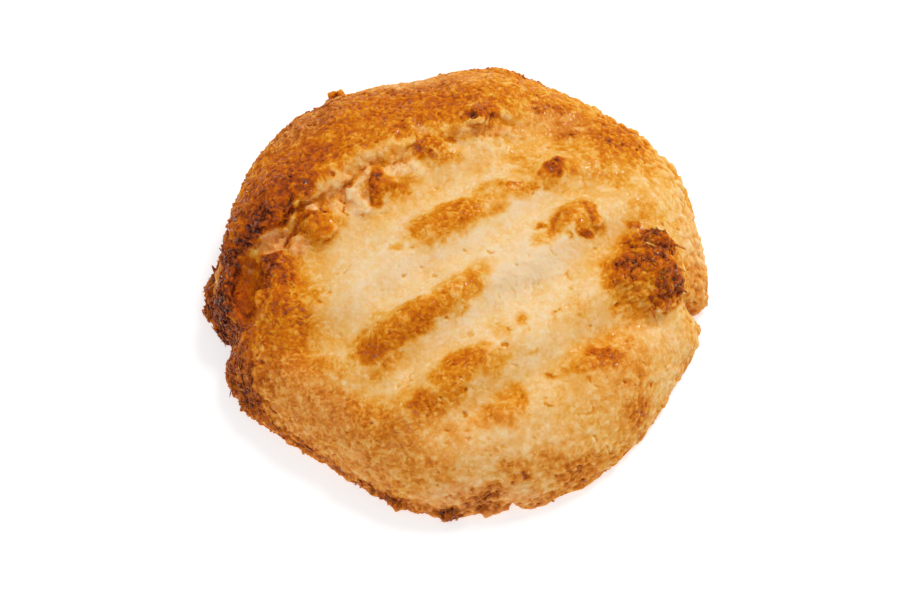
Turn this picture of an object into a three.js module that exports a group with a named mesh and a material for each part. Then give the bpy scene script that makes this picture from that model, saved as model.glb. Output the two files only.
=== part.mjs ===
// A coconut cookie: one spoonful of shredded-coconut dough, pressed once with a fork and baked.
// Four tine grooves cross its low dome. The dough beyond the first groove stands up as a torn lip,
// a burnt lump sits near the right edge, and a pocket opens in the left side above a thin base flange.
// Millimetres, +Z up, origin at the middle of the flat underside. It is one solid.
import * as THREE from "three";
import { mergeVertices } from "three/addons/utils/BufferGeometryUtils.js";

const { degToRad, lerp, radToDeg, smoothstep } = THREE.MathUtils;

// Driving dimensions
const WIDTH = 49.4;
const DEPTH = 47.6;
const DOME_HEIGHT = 11.2;
const TOP_FLATNESS = 0.74; // how far the dome runs level before it turns down
const SIDE_STEEPNESS = 0.66; // how far the side stands upright
const TINE_PITCH = 6.9;
const TINE_BEARING = degToRad(32.4);

// The skin is a sphere's triangles laid over the cookie: from the pole to the foot angle over the top
// and the side, and from there to the other pole over the underside
const SKIN_DETAIL = 21;
const FOOT_ANGLE = degToRad(146);

// How far the plan stands outside or inside the ellipse: bearing and spread in degrees, swell in mm
const SWELLS = [
  { part: "right shoulder", bearing: 30, spread: 14, swell: 1.1 },
  { part: "back right shoulder", bearing: 60, spread: 12, swell: 0.4 },
  { part: "back peak", bearing: 80, spread: 9, swell: 1.1 },
  { part: "back dip", bearing: 101, spread: 14, swell: -1.0 },
  { part: "back left shoulder", bearing: 135, spread: 16, swell: 0.3 },
  { part: "left pinch", bearing: 166, spread: 10, swell: -0.6 },
  { part: "front left flat", bearing: 234, spread: 18, swell: -1.6 },
  { part: "front right flat", bearing: 335, spread: 22, swell: -0.8 },
];

// Bits that stick out of the side and chips missing from it, each from the tray up to its own top
const EDGE_BITS = [
  { part: "left foot", bearing: 181, spread: 8, swell: 1.0, top: 2.8 },
  { part: "left notch", bearing: 195, spread: 3.5, swell: -1.6, top: 11 },
  { part: "lower left foot", bearing: 205, spread: 6, swell: 0.7, top: 2.8 },
  { part: "front foot", bearing: 268, spread: 4, swell: 0.6, top: 2.4 },
  { part: "front nick", bearing: 277.5, spread: 3, swell: -0.9, top: 8 },
  { part: "right notch", bearing: 351.5, spread: 2.5, swell: -1.1, top: 11 },
  { part: "right bump", bearing: 357, spread: 2.5, swell: 0.5, top: 6 },
  { part: "back left crumb", bearing: 127, spread: 3, swell: 0.7, top: 2.4 },
];

// Fork press
const GROOVE_DEPTH = 1.6;
const FIRST_GROOVE = -6.5; // across the tines, from the middle of the cookie
const GROOVE_FADE = 6;
const GROOVES = [
  { from: -13, to: 15, halfWidth: 2.7 },
  { from: -15, to: 14, halfWidth: 2.1 },
  { from: -14, to: 13, halfWidth: 2.1 },
  { from: -8, to: 14, halfWidth: 2.1 },
];

// Torn lip beyond the first groove
const LIP_RISE_LEFT = 2.6;
const LIP_RISE_RIGHT = 1.2;
const LIP_EDGE = -11.5;
const LIP_FACE = 2.2;
const LIP_FROM = -20;
const LIP_TO = 11;
const LIP_FADE = 6;
const LIP_LEAN = 0.055; // how fast its edge nears the middle of the cookie along the tines
const LIP_BEND = 0.012; // and how that quickens towards its right end

// Rounded forms that stand above or sink below the dome: centre, half sizes along x and y, turn and rise
const MOUNDS = [
  { part: "burnt lump", x: 17.9, y: -1.4, rx: 3.6, ry: 3.9, turn: 0, rise: 1.3, soft: 0.6 },
  { part: "burnt lump's front lobe", x: 20.3, y: -2.6, rx: 2.3, ry: 3.2, turn: 0, rise: 1.4, soft: 0.6 },
  { part: "burnt lump's back lobe", x: 19.3, y: 1.8, rx: 2.6, ry: 1.8, turn: 0, rise: 1.0, soft: 0.7 },
  { part: "second ridge crumb", x: 11.6, y: 4.0, rx: 3.0, ry: 2.2, turn: 20, rise: 0.8, soft: 0.8 },
  { part: "first ridge crumb", x: 9.6, y: 9.4, rx: 1.9, ry: 1.4, turn: 30, rise: 0.9, soft: 0.8 },
  { part: "lip crumb", x: 2.1, y: 15.2, rx: 2.0, ry: 1.6, turn: 30, rise: 0.7, soft: 0.8 },
  { part: "upper step crumb", x: -2.9, y: 11.0, rx: 1.9, ry: 1.6, turn: -20, rise: 0.9, soft: 0.8 },
  { part: "middle step crumb", x: -7.8, y: 7.2, rx: 1.9, ry: 2.0, turn: 20, rise: 1.1, soft: 0.8 },
  { part: "lower step crumb", x: -13.9, y: 3.1, rx: 2.4, ry: 2.1, turn: 0, rise: 1.1, soft: 0.8 },
  { part: "first ridge", x: -1.5, y: 3.2, rx: 4.6, ry: 1.8, turn: 24, rise: 0.6, soft: 0.8 },
  { part: "second ridge", x: -3.2, y: -6.0, rx: 8.0, ry: 1.8, turn: 32, rise: 0.8, soft: 0.8 },
  { part: "third ridge", x: -1.0, y: -13.4, rx: 5.0, ry: 2.0, turn: 36, rise: 0.6, soft: 0.9 },
  { part: "fourth ridge's left end", x: 4.6, y: -16.2, rx: 2.4, ry: 1.6, turn: 40, rise: 0.4, soft: 0.9 },
  { part: "fourth ridge", x: 12.6, y: -10.8, rx: 4.4, ry: 1.6, turn: 24, rise: 0.6, soft: 0.9 },
  { part: "left lip hill", x: -18.9, y: 5.4, rx: 5.2, ry: 3.0, turn: 50, rise: 1.2, soft: 1 },
  { part: "side pocket", x: -20.4, y: -2.2, rx: 2.0, ry: 3.8, turn: -6, rise: -2.6, soft: 0.7 },
  { part: "pocket's outer wall", x: -23.2, y: -1.8, rx: 1.6, ry: 4.6, turn: 4, rise: 1.2, soft: 0.9 },
  { part: "pocket's inner bank", x: -17.6, y: -2.6, rx: 2.6, ry: 4.6, turn: 8, rise: 0.5, soft: 1 },
  { part: "step pocket", x: -17.2, y: 2.2, rx: 3.4, ry: 1.2, turn: 30, rise: -1.3, soft: 0.8 },
  { part: "step crevice", x: -12.0, y: 5.6, rx: 2.6, ry: 1.1, turn: 30, rise: -0.9, soft: 0.8 },
  { part: "left face dip", x: -12.6, y: -10.0, rx: 6.0, ry: 7.5, turn: 35, rise: -0.6, soft: 1 },
];

// Uneven hand-formed surface: height and wavelength in mm, bearing in degrees, phase in radians
const RIPPLES = [
  { height: 0.12, wavelength: 9.3, bearing: 75, phase: 0.4 },
  { height: 0.09, wavelength: 6.1, bearing: 148, phase: 2.1 },
  { height: 0.06, wavelength: 4.3, bearing: 20, phase: 4.0 },
];

const bell = (distance, spread) => Math.exp(-((distance / spread) ** 2));

// 1 between the two ends, falling to 0 over the fade beyond each
const windowed = (value, from, to, fade) =>
  smoothstep(value, from - fade, from) * (1 - smoothstep(value, to, to + fade));

// Smallest angle between two bearings, in degrees
function bearingGap(a, b) {
  const gap = Math.abs(a - b) % 360;
  return Math.min(gap, 360 - gap);
}

const swellAt = (bit, bearing) => bit.swell * bell(bearingGap(bearing, bit.bearing), bit.spread);

// Distance from the middle to the side of the cookie, at a bearing in degrees
function planRadius(bearing) {
  const a = degToRad(bearing);
  const ellipse = 1 / Math.hypot(Math.cos(a) / (WIDTH / 2), Math.sin(a) / (DEPTH / 2));
  return SWELLS.reduce((radius, swell) => radius + swellAt(swell, bearing), ellipse);
}

// How far the side is pushed out at a height above the tray
function edgeSwell(bearing, z) {
  return EDGE_BITS.reduce((sum, bit) => {
    return sum + swellAt(bit, bearing) * (1 - smoothstep(z, 0.35 * bit.top, bit.top));
  }, 0);
}

// A point's place along the tines and across them, counted from the back left to the front right
function tineFrame(x, y) {
  const c = Math.cos(TINE_BEARING);
  const s = Math.sin(TINE_BEARING);
  return { along: x * c + y * s, across: x * s - y * c };
}

function grooveRelief(along, across) {
  return GROOVES.reduce((sum, groove, i) => {
    const middle = FIRST_GROOVE + i * TINE_PITCH;
    const reach = windowed(along, groove.from, groove.to, GROOVE_FADE);
    return sum - GROOVE_DEPTH * bell(across - middle, groove.halfWidth) * reach;
  }, 0);
}

function lipRelief(along, across) {
  const ragged = 0.5 * Math.sin(along * 0.85 + 1) + 0.2 * Math.sin(along * 1.7);
  const edge = LIP_EDGE + ragged + LIP_LEAN * along + LIP_BEND * Math.max(0, along) ** 2;
  const face = 1 - smoothstep(across, edge - LIP_FACE, edge);
  const rise = lerp(LIP_RISE_LEFT, LIP_RISE_RIGHT, smoothstep(along, LIP_FROM, LIP_TO));
  return rise * face * windowed(along, LIP_FROM, LIP_TO, LIP_FADE);
}

function moundRelief(x, y) {
  return MOUNDS.reduce((sum, m) => {
    const a = degToRad(m.turn);
    const u = ((x - m.x) * Math.cos(a) + (y - m.y) * Math.sin(a)) / m.rx;
    const v = ((y - m.y) * Math.cos(a) - (x - m.x) * Math.sin(a)) / m.ry;
    return sum + m.rise * (1 - smoothstep(Math.hypot(u, v), 1 - m.soft, 1.25));
  }, 0);
}

function rippleRelief(x, y) {
  return RIPPLES.reduce((sum, r) => {
    const a = degToRad(r.bearing);
    const turns = (x * Math.cos(a) + y * Math.sin(a)) / r.wavelength;
    return sum + r.height * Math.sin(2 * Math.PI * turns + r.phase);
  }, 0);
}

function relief(x, y) {
  const { along, across } = tineFrame(x, y);
  return grooveRelief(along, across) + lipRelief(along, across) + moundRelief(x, y) + rippleRelief(x, y);
}

// Half of the cross-section, from the middle of the top down to the tray:
// share of the radius, share of the height
const section = new THREE.CubicBezierCurve(
  new THREE.Vector2(0, 1),
  new THREE.Vector2(TOP_FLATNESS, 1),
  new THREE.Vector2(1, SIDE_STEEPNESS),
  new THREE.Vector2(1, 0),
);

// Where a direction on the sphere lands on the plain cookie, as shares of the radius and of the height
function sectionPoint(direction) {
  const fromTop = direction.angleTo(new THREE.Vector3(0, 0, 1));
  if (fromTop >= FOOT_ANGLE) {
    return new THREE.Vector2((Math.PI - fromTop) / (Math.PI - FOOT_ANGLE), 0);
  }
  return section.getPointAt(Math.sin(fromTop / 2) / Math.sin(FOOT_ANGLE / 2));
}

function skinPoint(direction) {
  const bearing = (radToDeg(Math.atan2(direction.y, direction.x)) + 360) % 360;
  const share = sectionPoint(direction);
  const reach = share.x * planRadius(bearing);
  const x = reach * Math.cos(degToRad(bearing));
  const y = reach * Math.sin(degToRad(bearing));
  const z = share.y * DOME_HEIGHT + relief(x, y) * smoothstep(share.y, 0.05, 0.5);
  const edge = edgeSwell(bearing, z) * smoothstep(share.x, 0.82, 0.97);
  const grown = reach > 0 ? 1 + edge / reach : 1;
  return new THREE.Vector3(x * grown, y * grown, Math.max(0, z));
}

function cookieGeometry() {
  const sphere = new THREE.IcosahedronGeometry(1, SKIN_DETAIL);
  sphere.deleteAttribute("normal");
  sphere.deleteAttribute("uv");
  const geometry = mergeVertices(sphere);
  const position = geometry.getAttribute("position");
  const direction = new THREE.Vector3();
  for (let i = 0; i < position.count; i++) {
    direction.fromBufferAttribute(position, i).normalize();
    position.setXYZ(i, ...skinPoint(direction));
  }
  geometry.computeBoundingBox();
  const middle = geometry.boundingBox.getCenter(new THREE.Vector3());
  geometry.translate(-middle.x, -middle.y, 0);
  geometry.computeVertexNormals();
  return geometry;
}

const bakedDough = new THREE.MeshStandardMaterial({ color: 0xe0a456, roughness: 0.82, metalness: 0 });

const cookie = new THREE.Mesh(cookieGeometry(), bakedDough);
cookie.name = "cookie";

const group = new THREE.Group();
group.name = "coconut_cookie";
group.add(cookie);

export default group;
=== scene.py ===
import math

import bmesh
import bpy
import numpy as np
from mathutils import Matrix, Vector, noise
from mathutils.bvhtree import BVHTree
from mathutils.kdtree import KDTree


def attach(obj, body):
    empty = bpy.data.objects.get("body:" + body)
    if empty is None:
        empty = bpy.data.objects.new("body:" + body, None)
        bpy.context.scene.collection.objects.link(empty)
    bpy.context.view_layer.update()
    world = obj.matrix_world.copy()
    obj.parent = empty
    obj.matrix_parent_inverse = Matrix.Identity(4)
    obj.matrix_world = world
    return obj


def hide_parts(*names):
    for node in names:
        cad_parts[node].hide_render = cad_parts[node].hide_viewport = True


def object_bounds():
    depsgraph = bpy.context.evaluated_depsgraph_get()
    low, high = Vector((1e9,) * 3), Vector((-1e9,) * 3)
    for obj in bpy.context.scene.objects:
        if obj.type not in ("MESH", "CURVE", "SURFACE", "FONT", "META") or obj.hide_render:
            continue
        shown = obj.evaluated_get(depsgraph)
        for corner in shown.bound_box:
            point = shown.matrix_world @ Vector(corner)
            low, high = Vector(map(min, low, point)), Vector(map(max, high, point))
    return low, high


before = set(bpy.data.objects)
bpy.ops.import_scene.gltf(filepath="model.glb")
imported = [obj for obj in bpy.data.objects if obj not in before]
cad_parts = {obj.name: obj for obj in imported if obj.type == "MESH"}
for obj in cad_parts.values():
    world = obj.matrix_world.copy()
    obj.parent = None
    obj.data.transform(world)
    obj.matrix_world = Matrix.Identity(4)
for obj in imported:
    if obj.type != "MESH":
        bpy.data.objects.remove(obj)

# A fork-pressed coconut cookie on a pale tray: its crumbly body, and the shreds and toasted crumbs on it.
# Lengths in the tables are millimetres from the middle of the underside; meshes are in metres.

cad_low, cad_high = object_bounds()
MM = 0.001
HALF_WIDTH = (cad_high.x - cad_low.x) / 2 / MM
HALF_DEPTH = (cad_high.y - cad_low.y) / 2 / MM

# Across and along the fork's tines, as in the solid
TINE_TURN = math.radians(32.4)
TINE_PITCH = 6.9
FIRST_GROOVE = -6.5

# Torn edge of the lip: its place across the tines, and how it nears the middle and waves along them
LIP_EDGE = -11.7
LIP_LEAN = 0.055
LIP_BEND = 0.012
LIP_WAVE = 0.45
LIP_LEFT_END = -20.0
LIP_RIGHT_END = 14.0

# Ovals in plan: centre, half length, half width, turn in degrees
LUMP = (19.2, -1.2, 3.6, 4.2, 0)
SIDE_POCKET = (-20.4, -2.4, 1.5, 3.4, 0)

# The burnt brow over the left chunks: it lies above these heights and left of these places, with eased ends
BROW_FOOT = (9.1, 9.6)
BROW_RIGHT_END = (-15.6, -14.8)

GRAIN = 0.19 * MM  # spacing of the body's finished mesh
FIRST_GRAIN = 1.3 * GRAIN  # spacing of the mesh that is torn and bitten
MOST_FACES = 194000  # of the body, so that its flattest parts are thinned
UNDERSIDE_TOP = 0.05  # what lies lower is the flat underside

# Turns the place of a cell into a number that looks random
SCRAMBLE = np.array([12.99, 78.23, 37.72])
SCRAMBLE_STRETCH = 4375.85


def smooth(value, low, high):
    """0 at low, 1 at high, eased between."""
    t = np.clip((value - low) / (high - low), 0.0, 1.0)
    return t * t * (3.0 - 2.0 * t)


def bell(distance, spread):
    return np.exp(-((distance / spread) ** 2))


# Each noise below has numbered layers, which differ from one another at every place


def fold_noise(points, size, layer, octaves=1):
    """Smooth noise from -1 to 1 at each point, with lumps of about the given size in mm."""
    shift = Vector((31.7 * layer, -17.3 * layer, 5.9 * layer))
    if octaves == 1:
        return np.array([noise.noise(Vector(p) / size + shift) for p in points])
    return np.array([noise.fractal(Vector(p) / size + shift, 1.0, 2.0, octaves) for p in points])


def flake_noise(points, size, layer):
    """From -1 to 1 at random, the same all over each flake of about the given size in mm."""
    shift = Vector((7.9 * layer, 13.7 * layer, -19.3 * layer))
    seeds = np.array([noise.voronoi(Vector(p) / size + shift)[1][0][:] for p in points])
    return 2.0 * np.modf(np.abs(np.sin(seeds @ SCRAMBLE)) * SCRAMBLE_STRETCH)[0] - 1.0


def clump_noise(points, size, layer):
    """0 in the creases between rounded clumps of the given size, 1 on their tops."""
    shift = Vector((-11.3 * layer, 23.1 * layer, 7.7 * layer))
    crease = 0.45
    gaps = []
    for p in points:
        near = noise.voronoi(Vector(p) / size + shift)[0]
        gaps.append(near[1] - near[0])
    return np.clip(np.array(gaps) / crease, 0.0, 1.0)


def sway(points, size, layer):
    """A level push at each point, up to 1 each way, that turns about over the given size in mm."""
    level = 0.0 * points[:, 2]
    return np.stack([fold_noise(points, size, layer), fold_noise(points, size, layer + 1), level], axis=1)


def plan_share(points):
    """How far out each point lies in plan: 0 in the middle, about 1 on the outline."""
    return np.hypot(points[:, 0] / HALF_WIDTH, points[:, 1] / HALF_DEPTH)


def tine_frame(points):
    """Each point's place along the tines and across them."""
    c, s = math.cos(TINE_TURN), math.sin(TINE_TURN)
    return points[:, 0] * c + points[:, 1] * s, points[:, 0] * s - points[:, 1] * c


def lip_line(along):
    """Where the torn edge runs, across the tines."""
    swing = LIP_LEAN * along + LIP_BEND * np.maximum(0.0, along) ** 2
    return LIP_EDGE + LIP_WAVE * np.sin(along * 0.85 + 1.0) + swing


def lip_reach(along):
    """1 along the lip, easing to 0 at its ends."""
    begun = smooth(along, LIP_LEFT_END, LIP_LEFT_END + 4.0)
    ended = smooth(along, LIP_RIGHT_END - 4.0, LIP_RIGHT_END + 2.0)
    return begun * (1.0 - ended)


def oval(points, x, y, long, wide, turn):
    """Distance from an oval's middle in plan, 1 on its outline."""
    c, s = math.cos(math.radians(turn)), math.sin(math.radians(turn))
    u = ((points[:, 0] - x) * c + (points[:, 1] - y) * s) / long
    v = ((points[:, 1] - y) * c - (points[:, 0] - x) * s) / wide
    return np.hypot(u, v)


def spot(points, x, y, long, wide, turn, soft):
    """1 in an oval patch that is turned in plan, easing to 0 over its soft edge."""
    return 1.0 - smooth(oval(points, x, y, long, wide, turn), 1.0 - soft, 1.0 + soft)


def lump_at(points):
    """1 on the burnt lump near the right edge."""
    return spot(points, *LUMP, 0.2)


def pocket_at(points):
    """1 in the side pocket, whose skin is smooth."""
    return spot(points, *SIDE_POCKET, 0.4)


def rim_at(points):
    return smooth(plan_share(points), 0.8, 0.97)


def facing_down(normals):
    return smooth(-normals[:, 2], 0.3, 0.8)


# Browning -------------------------------------------------------------------------------------------

# By bearing in degrees: how brown the rim is, how far in towards the middle that reaches (share of the
# radius), and how brown the lowest part of the side is
RIM_BROWNING = [
    (0, 0.46, 0.92, 0.46),
    (14, 0.40, 0.88, 0.42),
    (35, 0.36, 0.80, 0.48),
    (50, 0.50, 0.74, 0.56),
    (65, 0.58, 0.68, 0.60),
    (85, 0.68, 0.62, 0.62),
    (110, 0.66, 0.58, 0.52),
    (130, 0.61, 0.57, 0.52),
    (150, 0.70, 0.58, 0.60),
    (165, 0.80, 0.66, 0.70),
    (185, 0.88, 0.72, 0.85),
    (200, 0.76, 0.68, 0.85),
    (215, 0.62, 0.62, 0.72),
    (235, 0.48, 0.60, 0.63),
    (252, 0.34, 0.66, 0.74),
    (268, 0.40, 0.78, 0.58),
    (285, 0.42, 0.82, 0.50),
    (300, 0.50, 0.80, 0.54),
    (320, 0.45, 0.78, 0.42),
    (340, 0.34, 0.84, 0.40),
    (352, 0.42, 0.94, 0.42),
    (360, 0.46, 0.92, 0.46),
]

# Broad golden ground: centre, half length, half width, turn in degrees, browning, softness of the edge
GOLDEN = [
    ("upper trough", -4.0, 6.6, 9.0, 2.2, 32, 0.17, 0.9),
    ("upper trough right", 7.2, 12.2, 5.4, 2.4, 20, 0.22, 0.9),
    ("back right", 15.2, 13.2, 6.2, 4.2, -34, 0.48, 0.8),
    ("back", 8.2, 18.6, 8.0, 2.4, -18, 0.50, 0.8),
    ("right shoulder", 18.5, 7.5, 4.6, 4.6, 0, 0.26, 0.9),
    ("right edge", 23.8, 1.6, 2.6, 7.0, 0, 0.30, 0.9),
    ("left of the lump", 14.2, -2.0, 2.4, 4.0, 0, 0.22, 0.8),
    ("between the right ridges", 12.6, -6.8, 6.0, 2.8, 30, 0.18, 0.9),
    ("blotch between the right ridges", 11.6, -6.1, 1.7, 1.1, 30, 0.31, 0.8),
    ("second ridge foot", -6.4, -11.5, 4.0, 1.2, 32, 0.28, 0.7),
    ("third ridge ground", 0.6, -13.4, 5.0, 2.8, 30, 0.25, 0.8),
    ("fourth ridge ground", 9.0, -13.4, 7.0, 2.4, 28, 0.14, 0.8),
    ("front right", 16.0, -13.6, 8.5, 4.2, 44, 0.34, 0.9),
    ("front", 3.0, -21.6, 13.0, 2.2, 4, 0.25, 0.7),
    ("front foot", 2.0, -23.8, 16.0, 1.4, 3, 0.34, 0.7),
    ("front left foot", -7.0, -21.4, 3.6, 1.8, -14, 0.44, 0.7),
    ("front left side", -13.4, -16.4, 8.0, 2.4, -36, 0.46, 0.8),
    ("front left shoulder", -7.8, -17.2, 9.0, 2.0, -32, 0.47, 0.7),
    ("front left shoulder spot", -10.6, -15.2, 2.8, 1.2, -30, 0.48, 0.7),
    ("upper trough gold", 3.8, 7.0, 2.6, 0.8, 18, 0.41, 0.7),
    ("above the lump", 18.6, 5.2, 2.4, 1.3, -20, 0.38, 0.7),
    ("right end of the fourth ridge", 16.2, -9.5, 2.0, 1.4, 0, 0.45, 0.7),
    ("third groove", 5.2, -9.0, 1.6, 2.0, 20, 0.24, 0.8),
    ("front of the second ridge", -7.5, -6.8, 1.2, 0.8, 30, 0.25, 0.8),
    ("below the right notch", 23.6, -6.0, 1.4, 2.6, 0, 0.34, 0.6),
    ("left of the first ridge crumb", 7.0, 9.1, 2.0, 0.8, 4, 0.38, 0.7),
    ("below the first ridge's right end", 3.4, 4.3, 1.7, 0.8, 20, 0.39, 0.6),
    ("left of the left arm", 8.8, 1.1, 1.2, 0.8, 0, 0.40, 0.6),
    ("below the lump", 17.0, -5.0, 2.4, 1.2, 0, 0.44, 0.5),
    ("right end of the third ridge", 4.0, -11.6, 1.5, 0.8, 30, 0.40, 0.6),
    ("above the fourth ridge's left end", 5.2, -14.4, 1.2, 0.9, 0, 0.42, 0.6),
    ("lower left shoulder", -13.2, -11.4, 1.9, 1.3, 20, 0.48, 0.6),
    ("front right gold", 9.0, -20.2, 2.2, 1.0, 20, 0.44, 0.7),
    ("third ridge's left ground", -3.6, -16.2, 2.4, 2.2, 10, 0.44, 0.5),
    ("front left shoulder's second spot", -7.5, -17.2, 1.8, 1.0, -20, 0.54, 0.6),
    ("back right edge", 16.8, 15.2, 2.6, 1.4, -40, 0.57, 0.6),
    ("below the left ground", -10.2, -12.0, 1.8, 0.9, -10, 0.38, 0.6),
    ("front trough gold", 2.4, -19.6, 2.0, 0.9, 0, 0.33, 0.7),
    ("above the fourth ridge's tail", 11.4, -10.9, 1.2, 0.7, 20, 0.38, 0.6),
    ("below the fourth ridge's right end", 16.8, -11.5, 1.6, 1.0, 0, 0.44, 0.6),
    ("above the first ridge's tail", 7.3, 10.6, 1.8, 0.8, 0, 0.38, 0.7),
    ("right of the lower step crumb", -11.4, 3.2, 0.9, 0.8, 0, 0.42, 0.6),
    ("back peak", 5.0, 20.6, 2.4, 1.2, -10, 0.52, 0.6),
    ("gold under the upper chunk", -4.5, 8.0, 1.0, 0.7, 20, 0.34, 0.7),
    ("left of the second ridge", -9.3, -8.8, 1.2, 0.8, 40, 0.42, 0.6),
    ("front of the third ridge", 0.0, -18.3, 1.6, 1.0, 0, 0.34, 0.7),
    ("right shoulder gold", 17.4, 7.7, 1.6, 1.0, 0, 0.34, 0.7),
    ("gold behind the second ridge crumb", 14.9, 8.7, 1.6, 0.9, 0, 0.38, 0.7),
    ("right end of the lip", 7.2, 15.5, 1.6, 0.8, 0, 0.42, 0.6),
    ("below the first ridge crumb", 9.9, 7.4, 1.4, 0.7, 0, 0.34, 0.7),
    ("right of the middle step crumb", -6.2, 6.0, 0.8, 0.6, 0, 0.44, 0.6),
    ("front spot", 5.4, -21.2, 1.4, 0.7, 0, 0.46, 0.6),
    ("left ground's upper spot", -13.6, -4.8, 1.2, 1.2, 0, 0.44, 0.6),
    ("left ground", -14.8, -6.0, 3.2, 8.0, 6, 0.31, 0.9),
    ("left ground spot", -15.0, -6.4, 1.4, 2.2, 10, 0.46, 0.7),
    ("left bank", -17.6, -4.0, 2.6, 6.6, 8, 0.64, 0.6),
    ("lower left bank", -18.6, -8.6, 2.7, 4.4, 24, 0.60, 0.7),
]

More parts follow.
